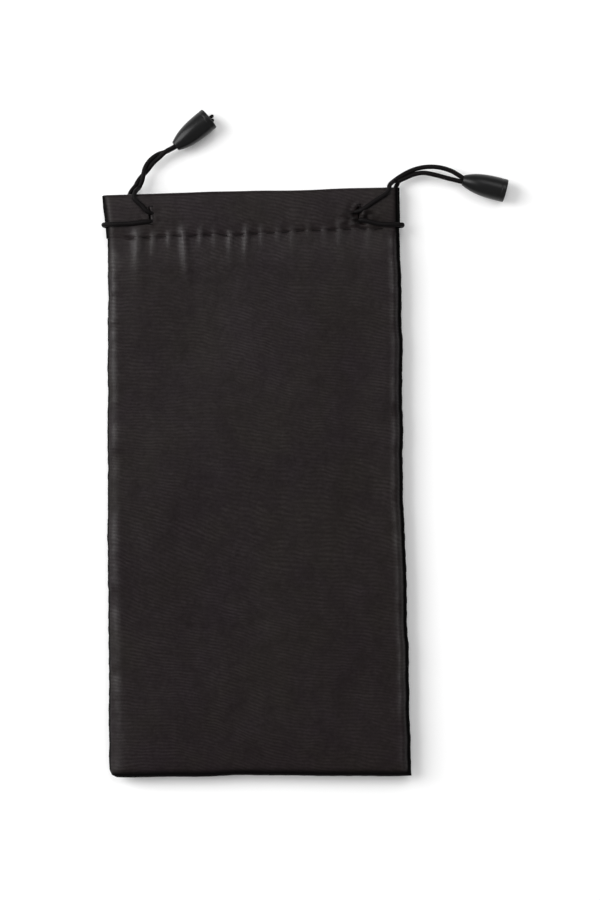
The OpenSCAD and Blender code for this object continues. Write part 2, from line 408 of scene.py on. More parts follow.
SIM_SCALE = 0.01  # the cloth solver works on a copy ten times life size
CLOTH_SETTINGS = dict(
    quality=5, mass=0.15, tension_stiffness=18, compression_stiffness=18, shear_stiffness=6,
    bending_stiffness=0.35, tension_damping=12, compression_damping=12, shear_damping=8, bending_damping=0.6,
    air_damping=4, vertex_group_mass="pin", pin_stiffness=1.2, vertex_group_shrink="slack", shrink_min=0.0,
    shrink_max=-0.055, use_pressure=True, uniform_pressure_force=0.6,
)


def cloth_weights(notes):
    """Pin weight and slack weight for each vertex of a sheet."""
    index, base_y, co = notes["index"], notes["base_y"], notes["co"]
    x, y = co[:, 0], co[:, 1]
    near_hem = hump(y - hem_line(x), 6.5)
    d_side = np.minimum(x - left_edge(y), right_edge(y) - x)
    near_side = hump(d_side, 4.5) * 0.45
    slack = np.clip(np.maximum(near_hem, near_side), 0, 1)
    pin = 0.25 * (1 - slack)
    inner = ~notes["outside"]
    for rim in (index[:, 0], index[:, -1], index[0, :], index[-1, :], index[inner, :].ravel()):
        pin[rim] = 1
    hem_row = int(np.argmin(abs(base_y - HEM_Y) + 1e3 * inner))
    held = index[hem_row][under_stitch(co[index[hem_row], 0]) > 0.5]
    pin[held] = 1
    for (r, c), v in notes["twin"].items():
        pin[v] = pin[index[r, c]] = 0.85
    return pin, slack


def simulate(obj, notes, frames=12, cap=0.9):
    """Lets the slack cloth round the stitches buckle, then writes the result into the mesh."""
    co = notes["co"]
    pin, slack = cloth_weights(notes)
    sim = obj.copy()
    sim.data = obj.data.copy()
    bpy.context.scene.collection.objects.link(sim)
    sim.data.vertices.foreach_set("co", (co * SIM_SCALE).ravel())
    for name, weights in (("pin", pin), ("slack", slack)):
        group = sim.vertex_groups.new(name=name)
        for level in np.unique(np.round(weights, 2)):
            if level > 0:
                picked = np.nonzero(np.round(weights, 2) == level)[0].tolist()
                group.add(picked, float(level), "REPLACE")
    cloth = sim.modifiers.new("cloth", "CLOTH")
    for name, value in CLOTH_SETTINGS.items():
        setattr(cloth.settings, name, value)
    cloth.settings.effector_weights.gravity = 0
    cloth.collision_settings.use_collision = False
    scene = bpy.context.scene
    cloth.point_cache.frame_start = 1
    cloth.point_cache.frame_end = frames
    for f in range(1, frames + 1):
        scene.frame_set(f)
    done = sim.evaluated_get(bpy.context.evaluated_depsgraph_get()).data
    moved = np.zeros(len(co) * 3)
    done.vertices.foreach_get("co", moved)
    moved = moved.reshape(-1, 3) / SIM_SCALE
    bpy.data.objects.remove(sim)
    scene.frame_set(1)
    step = moved - co
    size = np.linalg.norm(step, axis=1)
    step *= (cap * np.tanh(size / cap) / np.maximum(size, 1e-9))[:, None]
    out = co + step
    notes["co"] = out
    obj.data.vertices.foreach_set("co", (out * MM).ravel())
    obj.data.update()


def rest_on_floor(obj, notes, floor=0.04, soft=0.25):
    """Eases points that would go below the floor to just above it."""
    co = notes["co"]
    low = co[:, 2] < floor + soft
    co[low, 2] = floor + soft * np.exp((co[low, 2] - floor - soft) / soft)
    obj.data.vertices.foreach_set("co", (co * MM).ravel())
    obj.data.update()


def painted_cloth_light_and_shade(x, y, face):
    """Painted light and shade at each vertex, stored as a loss of shine: 1 for painted shade in the seams and
    in the creases round the right slit, below 0 for painted highlights where edges and creases catch the
    light.
    """
    d_left, d_right, d_foot = x - left_edge(y), right_edge(y) - x, y - FOOT_Y - foot_shift(x)
    blotch = noise_field(x, y, (0.22, 0.16), 6.0)
    body = 1 - smooth(y, HEM_Y - 4, HEM_Y - 1)
    # painted highlights: a band inside the left edge, the ridge inside the right seam and a broad patch near
    # the bottom-left, where the light from the left catches the cloth
    painted_highlight = 0.8 * hump(d_left - 2.2, 1.3) * np.clip(0.2 + 2.6 * blotch, 0, 1)
    painted_highlight += 1.4 * hump(d_right - 2.6, 0.8) * np.clip(0.6 + 1.8 * blotch, 0, 1)
    painted_highlight += 0.25 * hump(d_left, 9) * (1 - smooth(d_foot, 10, 60))
    painted_highlight = painted_highlight * body + 0.1 * blotch
    # painted highlights on the pucker ridges
    painted_highlight += 0.75 * np.clip(pucker_height(x, y, pucker_list(PUCKER_SEED[face], 1.0)), 0, 1)
    # painted shade in the seams along the left edge, the right edge and the foot
    dark = 1 - smooth(d_left, 0.4, 1.0)
    dark = np.maximum(dark, 1 - smooth(d_right, 0.9, 1.6))
    dark = np.maximum(dark, 1 - smooth(d_foot, 1.2, 2.8))
    # painted shade in the creases of the crumpled cloth round the right slit
    slit = SLIT["right"]
    crumple = hump(x - slit.x, 4.0) * hump(y - slit.y + 0.8, 2.5)
    fold = noise_field(x, y, (0.5, 0.75), 2.0)
    dark = np.maximum(dark, np.clip(1.3 * crumple, 0, 1) * np.clip(0.5 - 2.5 * fold, 0, 0.85))
    return dark - painted_highlight * (1 - dark)


def make_panel(name, face):
    obj, notes = build_sheet(name, face)
    obj.data.vertices.foreach_set("co", (notes["co"] * MM).ravel())
    simulate(obj, notes)
    rest_on_floor(obj, notes)
    x, y = notes["co"][:, 0], notes["co"][:, 1]
    # the stored "rim" values are painted light: painted shade along the seams and round the right slit,
    # painted highlights on the edge bands and puckers
    rim = obj.data.attributes.new("rim", "FLOAT", "POINT")
    rim.data.foreach_set("value", painted_cloth_light_and_shade(x, y, face).astype(np.float32))
    obj.data.shade_smooth()
    solid = obj.modifiers.new("thickness", "SOLIDIFY")
    solid.thickness = CLOTH_T * MM
    solid.offset = -1
    return obj, notes


# ---------------------------------------------------------------- tubes: cords and threads
def between(t, t0, t1, p0, p1):
    return ((t1 - t) * p0 + (t - t0) * p1) / (t1 - t0)


def spline(points, step):
    """Points at even steps along a smooth curve through the given ones (centripetal)."""
    p = np.array(points, float)
    ext = np.vstack([2 * p[0] - p[1], p, 2 * p[-1] - p[-2]])
    gaps = np.linalg.norm(np.diff(ext, axis=0), axis=1) ** 0.5
    knots = np.concatenate([[0], np.cumsum(gaps)])
    out = []
    for i in range(1, len(ext) - 2):
        t0, t1, t2, t3 = knots[i - 1:i + 3]
        p0, p1, p2, p3 = ext[i - 1:i + 3]
        for t in np.linspace(t1, t2, 24, endpoint=False):
            a1, a2, a3 = between(t, t0, t1, p0, p1), between(t, t1, t2, p1, p2), between(t, t2, t3, p2, p3)
            out.append(between(t, t1, t2, between(t, t0, t2, a1, a2), between(t, t1, t3, a2, a3)))
    out.append(p[-1])
    out = np.array(out)
    run = np.concatenate([[0], np.cumsum(np.linalg.norm(np.diff(out, axis=0), axis=1))])
    even = np.linspace(0, run[-1], max(2, int(run[-1] / step) + 1))
    return np.stack([np.interp(even, run, out[:, k]) for k in range(3)], 1)


def frames_along(path):
    """A normal and a side direction at each point, carried along without twist."""
    tangents = np.gradient(path, axis=0)
    tangents /= np.linalg.norm(tangents, axis=1)[:, None]
    up = np.array([0, 0, 1.0]) if abs(tangents[0][2]) < 0.9 else np.array([1.0, 0, 0])
    normals = []
    for t in tangents:
        up = up - t * (up @ t)
        up /= np.linalg.norm(up)
        normals.append(up.copy())
    normals = np.array(normals)
    return normals, np.cross(tangents, normals)


def braid_relief(turn, along, radius):
    """Height of a braided surface: two families of strands that pass over and under."""
    lay = 8
    pitch = 2.3 * radius
    a = lay * turn / 2 + along * 2 * math.pi / pitch
    b = lay * turn / 2 - along * 2 * math.pi / pitch
    over = 0.5 + 0.5 * np.sin(a - b)
    return over * np.abs(np.cos(a)) ** 0.7 + (1 - over) * np.abs(np.cos(b)) ** 0.7


def twist_relief(turn, along, radius):
    """Height of a plied thread."""
    return np.abs(np.cos(1.5 * turn + along * math.pi / (1.6 * radius)))


def ring_faces(pairs, sides):
    """Quads between numbered rings of points, for each pair of rings."""
    around = [(k, (k + 1) % sides) for k in range(sides)]
    return [(i * sides + k, i * sides + n, j * sides + n, j * sides + k) for i, j in pairs for k, n in around]


def tube_data(path, radius, sides, relief=None, depth=0.0, round_ends=True, part=slice(None)):
    """Vertices and faces of a closed tube along a path, or along one part of it."""
    path = np.asarray(path, float)
    normals, sidedirs = frames_along(path)
    run = np.concatenate([[0], np.cumsum(np.linalg.norm(np.diff(path, axis=0), axis=1))])
    turn = np.linspace(0, 2 * math.pi, sides, endpoint=False)
    width = np.full(len(path), 1.0)
    if round_ends:
        end = np.minimum(run, run[-1] - run)
        width = np.sqrt(np.clip(1 - (1 - np.clip(end / radius, 0.03, 1)) ** 2, 0, 1))
    r = radius * width[:, None] * np.ones((1, sides))
    if relief is not None:
        high = relief(turn[None, :], run[:, None], radius)
        r = r * (1 - depth + depth * high)
    path, normals, sidedirs, r = (a[part] for a in (path, normals, sidedirs, r))
    verts = (
        path[:, None, :]
        + normals[:, None, :] * (r * np.cos(turn))[:, :, None]
        + sidedirs[:, None, :] * (r * np.sin(turn))[:, :, None]
    ).reshape(-1, 3)
    faces = ring_faces([(i, i + 1) for i in range(len(path) - 1)], sides)
    faces.append(tuple(reversed(range(sides))))
    faces.append(tuple((len(path) - 1) * sides + k for k in range(sides)))
    return verts, faces


def make_object(name, parts):
    """One smooth mesh from several (vertices in mm, faces) parts."""
    verts, faces = [], []
    for v, f in parts:
        base = len(verts)
        verts.extend((np.asarray(v) * MM).tolist())
        faces.extend([tuple(base + i for i in face) for face in f])
    obj = mesh_object(name, verts, faces)
    obj.data.shade_smooth()
    return obj


def cord(path, part=slice(None)):
    return tube_data(path, CORD_R, CORD_SIDES, braid_relief, BRAID_DEPTH, round_ends=False, part=part)


# ---------------------------------------------------------------- materials
def new_material(name):
    mat = bpy.data.materials.new(name)
    mat.use_nodes = True
    tree = mat.node_tree
    return mat, tree, tree.nodes["Principled BSDF"]


def feed(tree, socket, value):
    """Sets a socket to a number or a colour, or links it to another socket."""
    if isinstance(value, (int, float)):
        socket.default_value = value
    elif isinstance(value, tuple):
        socket.default_value = (*value, 1)
    else:
        tree.links.new(value, socket)


def feed_all(tree, node, values):
    for name, value in values.items():
        feed(tree, node.inputs[name], value)


def maths(tree, op, a, b):
    node = tree.nodes.new("ShaderNodeMath")
    node.operation = op
    feed_all(tree, node, {0: a, 1: b})
    return node.outputs[0]


def mix_colour(tree, factor, a, b):
    node = tree.nodes.new("ShaderNodeMix")
    node.data_type = "RGBA"
    feed_all(tree, node, {0: factor, 6: a, 7: b})
    return node.outputs[2]


def in_mm(tree, turn_deg=0.0):
    """Object coordinates in millimetres, turned about Z."""
    place = tree.nodes.new("ShaderNodeTexCoord")
    mapping = tree.nodes.new("ShaderNodeMapping")
    mapping.inputs["Scale"].default_value = (1 / MM,) * 3
    mapping.inputs["Rotation"].default_value = (0, 0, math.radians(turn_deg))
    tree.links.new(place.outputs["Object"], mapping.inputs["Vector"])
    return mapping.outputs["Vector"]


def stripes(tree, vector, axis, pitch):
    """A sine from 0 to 1 along one axis of a vector in millimetres."""
    split = tree.nodes.new("ShaderNodeSeparateXYZ")
    tree.links.new(vector, split.inputs[0])
    wave = maths(tree, "SINE", maths(tree, "MULTIPLY", split.outputs[axis], 2 * math.pi / pitch), 0)
    return scaled(tree, wave, 0.5, 0.5)


def bumps(tree, shader, heights):
    """Chains bump nodes: (height socket, distance in mm, strength)."""
    last = None
    for height, distance, strength in heights:
        node = tree.nodes.new("ShaderNodeBump")
        feed_all(tree, node, {"Distance": distance * MM, "Strength": strength, "Height": height})
        if last is not None:
            tree.links.new(last, node.inputs["Normal"])
        last = node.outputs["Normal"]
    tree.links.new(last, shader.inputs["Normal"])


def noise_at(tree, vector, scale, detail=3.0, rough=0.5):
    node = tree.nodes.new("ShaderNodeTexNoise")
    feed_all(tree, node, {"Vector": vector, "Scale": scale, "Detail": detail, "Roughness": rough})
    return node.outputs["Fac"]


def scaled(tree, value, by, plus=0.0):
    return maths(tree, "ADD", maths(tree, "MULTIPLY", value, by), plus)


def patches(tree, vector, scale, detail, rough, cut, gain):
    """Noise from which a level is cut off, then stretched and clamped to 0..1."""
    cut_off = maths(tree, "SUBTRACT", noise_at(tree, vector, scale, detail, rough), cut)
    out = maths(tree, "MULTIPLY", cut_off, gain)
    out.node.use_clamp = True
    return out


def darkened(tree, colour, attribute, share):
    """A colour that loses a share of itself where a stored attribute is 1, and that loss; here it paints
    shade into the cloth's colour.
    """
    stored = tree.nodes.new("ShaderNodeAttribute")
    stored.attribute_name = attribute
    amount = maths(tree, "MULTIPLY", stored.outputs["Fac"], share)
    # the near black that painted shade mixes towards
    return mix_colour(tree, amount, colour, (0.0015, 0.0014, 0.0014)), amount


def cloth_material():
    mat, tree, shader = new_material("pouch_cloth")
    base = in_mm(tree)
    tilted = in_mm(tree, 9)
    # ribs that change direction slowly and fade in and out
    slow = maths(tree, "MULTIPLY", noise_at(tree, base, 0.013, 1), 24.0)
    drift = maths(tree, "ADD", slow, maths(tree, "MULTIPLY", noise_at(tree, base, 0.14, 2), 2.4))
    push = tree.nodes.new("ShaderNodeCombineXYZ")
    tree.links.new(drift, push.inputs[1])
    shift = tree.nodes.new("ShaderNodeVectorMath")
    tree.links.new(tilted, shift.inputs[0])
    tree.links.new(push.outputs[0], shift.inputs[1])
    ribs = stripes(tree, shift.outputs[0], 1, 1.05)
    ribs = maths(tree, "MULTIPLY", ribs, patches(tree, base, 0.22, 4, 0.75, 0.36, 3.0))
    weft = stripes(tree, base, 1, 0.36)
    warp = stripes(tree, base, 0, 0.34)
    weave = maths(tree, "MULTIPLY", weft, warp)
    cloud = noise_at(tree, base, 0.035, 4, 0.6)
    grain = noise_at(tree, base, 0.8, 5, 0.75)
    mixed = maths(tree, "MULTIPLY", ribs, 0.4)
    mixed = maths(tree, "ADD", mixed, maths(tree, "MULTIPLY", cloud, 0.25))
    mixed = maths(tree, "ADD", mixed, maths(tree, "MULTIPLY", grain, 0.72))
    hue = patches(tree, base, 0.06, 3, 0.6, 0.35, 3.3)
    pale = mix_colour(tree, hue, (0.0106, 0.0059, 0.0076), (0.0103, 0.0068, 0.0056))
    colour = mix_colour(tree, mixed, (0.0026, 0.0014, 0.0017), pale)
    # painted shade: the stored "rim" value darkens the colour and, through the loss below, the shine; where
    # it is below 0 it raises the shine as a painted highlight
    colour, rim = darkened(tree, colour, "rim", 0.97)
    shine = scaled(tree, mixed, 0.19, 0.04)
    feed_all(tree, shader, {
        "Base Color": colour,
        "Roughness": scaled(tree, grain, 0.14, 0.38),
        "Specular IOR Level": maths(tree, "MULTIPLY", maths(tree, "SUBTRACT", 1.0, rim), shine),
        "Sheen Weight": 0.008,
        "Sheen Roughness": 0.35,
        "Sheen Tint": (1.0, 0.93, 0.94),
    })
    bumps(tree, shader, [(ribs, 0.05, 0.35), (weave, 0.05, 0.5), (grain, 0.1, 0.55)])
    return mat


def yarn_material(name, dark, pale, rough, level, scale):
    """Spun or braided yarn: fine fibres over a slow change of tone."""
    mat, tree, shader = new_material(name)
    base = in_mm(tree)
    grain = noise_at(tree, base, scale * 0.35, 4, 0.6)
    fibre = noise_at(tree, base, scale, 3, 0.5)
    feed_all(tree, shader, {
        "Base Color": mix_colour(tree, grain, dark, pale),
        "Roughness": scaled(tree, fibre, 0.2, rough),
        "Specular IOR Level": level,
        "Sheen Weight": 0.01,
    })
    bumps(tree, shader, [(fibre, 0.03, 0.5), (grain, 0.03, 0.3)])
    return mat


def plastic_material():
    mat, tree, shader = new_material("cord_end_plastic")
    base = in_mm(tree)
    mottle = noise_at(tree, base, 0.8, 4, 0.6)
    scuff = noise_at(tree, base, 6.0, 6, 0.75)
    feed_all(tree, shader, {
        "Base Color": mix_colour(tree, mottle, (0.0022, 0.0022, 0.0023), (0.0055, 0.0055, 0.0057)),
        "Roughness": scaled(tree, scuff, 0.16, 0.22),
        "Specular IOR Level": 0.2,
    })
    bumps(tree, shader, [(scuff, 0.015, 0.35), (mottle, 0.05, 0.3)])
    return mat


MATERIALS = {
    "pouch_cloth": cloth_material(),
    "cord": yarn_material("cord", (0.0012, 0.0009, 0.0010), (0.0046, 0.0036, 0.0038), 0.45, 0.07, 12.0),
    "thread": yarn_material("thread", (0.0012, 0.0010, 0.0010), (0.0050, 0.0042, 0.0043), 0.5, 0.08, 10.0),
    "cord_end_plastic": plastic_material(),
}


def finish_piece(obj, slot, *nodes):
    obj.data.materials.clear()
    obj.data.materials.append(MATERIALS[slot])
    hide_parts(*nodes)
    return obj


# ---------------------------------------------------------------- motion of the soft pieces
GATHER = 0.62
PLEATS = 9
PLEAT_H = 2.0


def gather_moves(co):
    """Moves of points at full draw of the left and of the right tail, in mm.
    The cord whose tail is on one side goes round the other side's edge and draws it in."""
    x, y = co[:, 0], co[:, 1]
    drawn = smooth(y, HEM_Y - 75, HEM_Y + 3) ** 1.5
    across = -x * GATHER * drawn
    lift = PLEAT_H * drawn * (1 + np.cos(x / (2 * HALF_W) * 2 * math.pi * PLEATS))
    lift = lift * smooth(drawn, 0.15, 0.9)
    right_half = smooth(x, -6, 6)
    moves = []
    for share in (right_half, 1 - right_half):
        move = np.zeros_like(co)
        move[:, 0] = across * share
        move[:, 2] = lift * share
        moves.append(move)
    return moves


def vector_node(nodes, operation):
    node = nodes.new("ShaderNodeVectorMath")
    node.operation = operation
    return node


def offset_group(name, terms):
    """Geometry nodes: adds stored moves, each scaled by how far one body has slid on another
    and turned as the second body is turned.
    A term is (name of the stored move, sliding body, the body it slides on, full travel in mm)."""
    group = bpy.data.node_groups.new(name, "GeometryNodeTree")
    group.interface.new_socket("Geometry", in_out="INPUT", socket_type="NodeSocketGeometry")
    group.interface.new_socket("Geometry", in_out="OUTPUT", socket_type="NodeSocketGeometry")
    nodes, links = group.nodes, group.links
    start, end = nodes.new("NodeGroupInput"), nodes.new("NodeGroupOutput")
    place = nodes.new("GeometryNodeSetPosition")
    total = None
    for attribute, slider, rail, travel in terms:
        apart = vector_node(nodes, "DISTANCE")
        for i, body in enumerate((slider, rail)):
            info = nodes.new("GeometryNodeObjectInfo")
            info.transform_space = "ORIGINAL"
            info.inputs["Object"].default_value = frame["bodies"][body]
            links.new(info.outputs["Location"], apart.inputs[i])
        share = maths(group, "MULTIPLY", apart.outputs["Value"], 1 / (travel * MM))
        stored = nodes.new("GeometryNodeInputNamedAttribute")
        stored.data_type = "FLOAT_VECTOR"
        stored.inputs["Name"].default_value = attribute
        part = vector_node(nodes, "SCALE")
        links.new(stored.outputs["Attribute"], part.inputs[0])
        links.new(share, part.inputs["Scale"])
        turned = nodes.new("FunctionNodeRotateVector")
        links.new(part.outputs[0], turned.inputs["Vector"])
        links.new(info.outputs["Rotation"], turned.inputs["Rotation"])
        if total is None:
            total = turned.outputs[0]
        else:
            both = vector_node(nodes, "ADD")
            links.new(total, both.inputs[0])
            links.new(turned.outputs[0], both.inputs[1])
            total = both.outputs[0]
    links.new(start.outputs[0], place.inputs["Geometry"])
    links.new(total, place.inputs["Offset"])
    links.new(place.outputs[0], end.inputs[0])
    return group


PULL = offset_group("follow_draw", [
    ("left_pull", "left_tail_base", "back", DRAW),
    ("right_pull", "right_tail_base", "back", DRAW),
])


def follow(obj, group, moves):
    """Stores named moves of obj's points and adds, before any other, the modifier that applies them."""
    for name, move in moves.items():
        stored = obj.data.attributes.new(name, "FLOAT_VECTOR", "POINT")
        stored.data.foreach_set("vector", (move * MM).astype(np.float32).ravel())
    mod = obj.modifiers.new(group.name, "NODES")
    mod.node_group = group
    obj.modifiers.move(len(obj.modifiers) - 1, 0)


def follow_draw(obj, moves):
    follow(obj, PULL, {"left_pull": moves[0], "right_pull": moves[1]})


def points_of(obj):
    co = np.zeros(len(obj.data.vertices) * 3)
    obj.data.vertices.foreach_get("co", co)
    return co.reshape(-1, 3) / MM


def blend_panels(obj):
    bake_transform(obj)


def on_pouch(obj):
    """A piece that lies on the two panels: it gathers with the cords."""
    follow_draw(obj, gather_moves(points_of(obj)))
    blend_panels(obj)


# ---------------------------------------------------------------- build: panels
def surface_tree(notes, obj):
    polys = [tuple(p.vertices) for p in obj.data.polygons]
    return BVHTree.FromPolygons([tuple(p) for p in notes["co"]], polys)


PANELS, TREES = {}, {}
for face in ("front", "back"):
    PANELS[face], face_notes = make_panel(face + "_cloth", face)
    finish_piece(PANELS[face], "pouch_cloth", face + "_panel")
    TREES[face] = surface_tree(face_notes, PANELS[face])


def skin_z(face, x, y, fallback):
    """Height of the outside of a panel at x, y."""
    sign = 1 if face == "front" else -1
    hit = TREES[face].ray_cast((x, y, 30 * sign), (0, 0, -sign))
    return hit[0].z if hit[0] is not None else fallback


# ---------------------------------------------------------------- build: stitching
def laid_stitch(a, b, face, radius=0.15, lift=0.03):
    """One thread between plan points a and b, lying on a panel and diving in at both ends."""
    sign = 1 if face == "front" else -1
    pts = []
    for t in np.linspace(0, 1, 9):
        x, y = a[0] + (b[0] - a[0]) * t, a[1] + (b[1] - a[1]) * t
        z = skin_z(face, x, y, SEAM_Z + sign * HEM_H)
        dive = 0.55 * (2 * abs(t - 0.5)) ** 6
        pts.append((x, y, z + sign * (lift - dive)))
    return tube_data(spline(pts, 0.12), radius, 8, twist_relief, 0.22)


def hem_stitching(face):
    parts = []
    rng = random.Random(31)
    for mid in hem_stitches():
        a, b = mid - STITCH_LEN * rng.uniform(0.36, 0.52), mid + STITCH_LEN * rng.uniform(0.36, 0.52)
        tilt = rng.uniform(-0.12, 0.12)
        parts.append(laid_stitch((a, float(hem_line(a)) - tilt), (b, float(hem_line(b)) + tilt), face))
    return parts


def slit_stitching(face):
    """Short threads square to the slit's lips, and a bar at each end."""
    parts = []
    for slit in SLIT.values():
        for y in np.arange(slit.y - SLIT_HALF_L + 0.35, slit.y + SLIT_HALF_L, 0.42):
            gap = float(slit_opening(y, slit))
            for s in (-1, 1):
                near = slit.x + s * (gap + 0.12)
                parts.append(laid_stitch((near, y), (near + s * 0.65, y + 0.1 * s), face, 0.09, 0.0))
        for e in (-1, 1):
            y = slit.y + e * (SLIT_HALF_L + 0.25)
            parts.append(laid_stitch((slit.x - 0.8, y), (slit.x + 0.8, y), face, 0.14, 0.05))
    return parts


def seam_point(edge, out, y, x):
    if edge == "left":
        return (float(left_edge(y)) - out, y, SEAM_Z)
    if edge == "right":
        return (float(right_edge(y)) + out, y, SEAM_Z)
    return (x, FOOT_Y + float(foot_shift(x)) - out, SEAM_Z)


def edge_stitching(edge):
    """Threads in the groove of a seam, each dipping in at its ends."""
    parts = []
    side = edge in ("left", "right")
    lo, hi = (FOOT_Y + 4, HEM_Y - 1) if side else (-HALF_W + 4, HALF_W - 4)
    for mid in stitch_centres(lo, hi):
        pts = []
        for t in np.linspace(-0.5, 0.5, 7):
            along = mid + t * STITCH_LEN
            out = -0.08 - 0.4 * (2 * abs(t)) ** 5
            pts.append(seam_point(edge, out, along, along))
        parts.append(tube_data(spline(pts, 0.15), 0.17, 8, twist_relief, 0.22))
    return parts


for face in ("front", "back"):
    piece = make_object(face + "_hem_thread", hem_stitching(face))
    on_pouch(finish_piece(piece, "thread", face + "_hem_stitching"))
    piece = make_object(face + "_slit_thread", slit_stitching(face))
    on_pouch(finish_piece(piece, "thread", face + "_slit_stitching"))
for edge in ("left", "right", "foot"):
    piece = make_object(edge + "_seam_thread", edge_stitching(edge))
    on_pouch(finish_piece(piece, "thread", edge + "_seam_stitching"))

# ---------------------------------------------------------------- build: cords on the pouch
TAIL_Z = HINGE["left"].z
BARE = 9.2  # bare cord between a tail's hinge and its cord end
CROSS_Y = 77.0  # where a cord goes round the far edge
# Where each strand goes over the mouth's edge
EXIT = {
    ("left", "front"): -36.2,
    ("left", "back"): -38.4,
    ("right", "front"): 39.2,
    ("right", "back"): 41.5,
}
# Plan course of the doubled left cord, and of the two spread strands of the right one
LEFT_PAIR = [
    (-35.5, 88.6), (-34.5, 90.6), (-33.4, 92.8), (-32.3, 94.7), (-30.9, 96.4), (-28.8, 98.0), (-26.5, 99.3),
]
RIGHT_PAIR = {
    "front": [
        (41.2, 90.4), (43.9, 92.2), (46.9, 93.6), (50.4, 94.4), (54.5, 94.3), (58.2, 93.2), (60.3, 92.0),
    ],
    "back": [
        (42.5, 90.2), (44.5, 91.2), (46.9, 92.2), (49.8, 92.7), (53.3, 92.1), (57.0, 91.1), (59.9, 90.4),
    ],
}
OTHER = {"left": "right", "right": "left"}


def lay(face, x, y, sink=0.12):
    """A cord's centre where it lies on the outside of a panel."""
    sign = 1 if face == "front" else -1
    z = skin_z(face, x, y, SEAM_Z + sign * HEM_H) + sign * (CORD_R - sink)
    return (x, y, max(z, CORD_R + 0.03))


def run_points(side, face):
    """Course of one cord on one panel, from the mouth's edge to the seam at the far side."""
    s = -1 if side == "left" else 1
    sign = 1 if face == "front" else -1
    own, far = SLIT[side], SLIT[OTHER[side]]
    inside = SEAM_Z + sign * (FACING_H + CLOTH_T + CORD_R + 0.05)
    exit_x = EXIT[side, face]
    top = MOUTH_Y + float(top_shift(exit_x))
    next_x, next_y, next_z = pair_points(side, face)[-1]
    over = SEAM_Z + sign * (HEM_H + 0.05)
    mid = ((exit_x + own.x) / 2, (top - 1.4 + own.y) / 2)
    edge = float(left_edge(CROSS_Y)) if side == "right" else float(right_edge(CROSS_Y))
    # over the mouth's edge, down the outside and in at the own slit
    pts = [
        (exit_x + (next_x - exit_x) * 0.55, top + (next_y - top) * 0.6, over + (next_z - over) * 0.45),
        (exit_x + (next_x - exit_x) * 0.2, top + 0.45, over),
        lay(face, exit_x, top - 1.3, 0.2),
        lay(face, mid[0] + 0.2 * s, mid[1] + 0.3, 0.35),
        lay(face, own.x + s * 0.9, own.y + 1.1, 0.45),
    ]
    # along the tunnel, where it passes the other cord, and to the far slit
    pts += [
        (own.x - s * 1.0, own.y + 0.6, inside + sign * 0.2),
        (own.x - s * 3.5, own.y + 0.6, inside),
        (s * 9, own.y + 0.5, inside),
        (s * 3, own.y, inside + sign * s * 0.1),
        (-s * 3, far.y - 1.6, inside - sign * s * 0.1),
        (-s * 9, far.y - 2.0, inside),
        (far.x + s * 3.5, far.y - 1.9, inside),
        (far.x + s * 1.0, far.y - 1.8, inside + sign * 0.2),
    ]
    # out at the far slit and round the far edge to the seam
    pts += [
        lay(face, far.x - s * 1.0, far.y - 1.9, 0.45),
        lay(face, (far.x + edge) / 2, CROSS_Y + 0.15, 0.4),
        lay(face, edge + s * 2.2, CROSS_Y, 0.3),
        (edge - s * 0.75, CROSS_Y, SEAM_Z + sign * 1.5),
        (edge - s * 0.95, CROSS_Y, SEAM_Z),
    ]
    return pts


def tail_heading(side):
    """Direction of a cord end, from its slide axis, which points back along the cord."""
    return -Vector(joints[side + "_end_slide"]["axis"]).normalized()


def pair_points(side, face):
    """Course of one strand from its knot back to just outside the mouth."""
    u = tail_heading(side)
    across = Vector((-u.y, u.x, 0))
    narrow = HINGE[side] + u * BARE
    sign = 1 if face == "front" else -1
    if side == "left":
        plan = [(x, y, TAIL_Z) for x, y in LEFT_PAIR] + [tuple(narrow), tuple(narrow + u * 6.2)]
        centre = spline(plan, PATH_STEP)
        run = np.linspace(0, 1, len(centre))
        normals, sidedirs = frames_along(centre)
        turn = math.pi * (smooth(run, 0.0, 0.36) + 0.5 * smooth(run, 0.42, 0.62))
        gap = PAIR_OFF * (1 + 0.1 * hump(run - 0.36, 0.05))
        off = sidedirs * (np.cos(turn) * gap)[:, None] + normals * (np.sin(turn) * gap)[:, None]
        strand = [tuple(p) for p in (centre + sign * off)[::6]]
    else:
        strand = [(x, y, TAIL_Z + sign * 0.12) for x, y in RIGHT_PAIR[face]]
        strand += [tuple(narrow + u * d + across * (sign * PAIR_OFF)) for d in (0.2, 3.0, 6.2)]
    return strand[::-1]


def strand_path(side, face):
    """The whole strand from its knot to the far seam, and the index where the pouch's part starts."""
    pair = pair_points(side, face)
    path = spline(pair + run_points(side, face), PATH_STEP)
    return path, int(np.argmin(np.linalg.norm(path - np.array(pair[-1]), axis=1)))


def strand_share(path, side):
    """For each ring, 0 where a strand has joined its tail, rising to 1 where it goes in at its slit."""
    own = np.array(SLIT[side])
    at_slit = int(np.argmin(np.linalg.norm(path[:, :2] - own, axis=1)))
    return smooth(np.arange(len(path)), 2, at_slit)


for side in ("left", "right"):
    for face in ("front", "back"):
        node = f"{side}_cord_{face}"
        path, joint_at = strand_path(side, face)
        piece = make_object(node + "_braid", [cord(path, slice(joint_at, None))])
        finish_piece(piece, "cord", node)
        co = points_of(piece)
        share = np.repeat(strand_share(path[joint_at:], side), CORD_SIDES)[:, None]
        moves = [m * share for m in gather_moves(co)]
        own = 0 if side == "left" else 1
        moves[own][:, 0] += (1 - share[:, 0]) * DRAW * (-1 if side == "left" else 1)
        follow_draw(piece, moves)
        blend_panels(piece)

# ---------------------------------------------------------------- build: tails
BELL_LEN = 13.2
KNOT_AT = 7.3  # from a cord end's narrow tip
STUB_R = 0.55


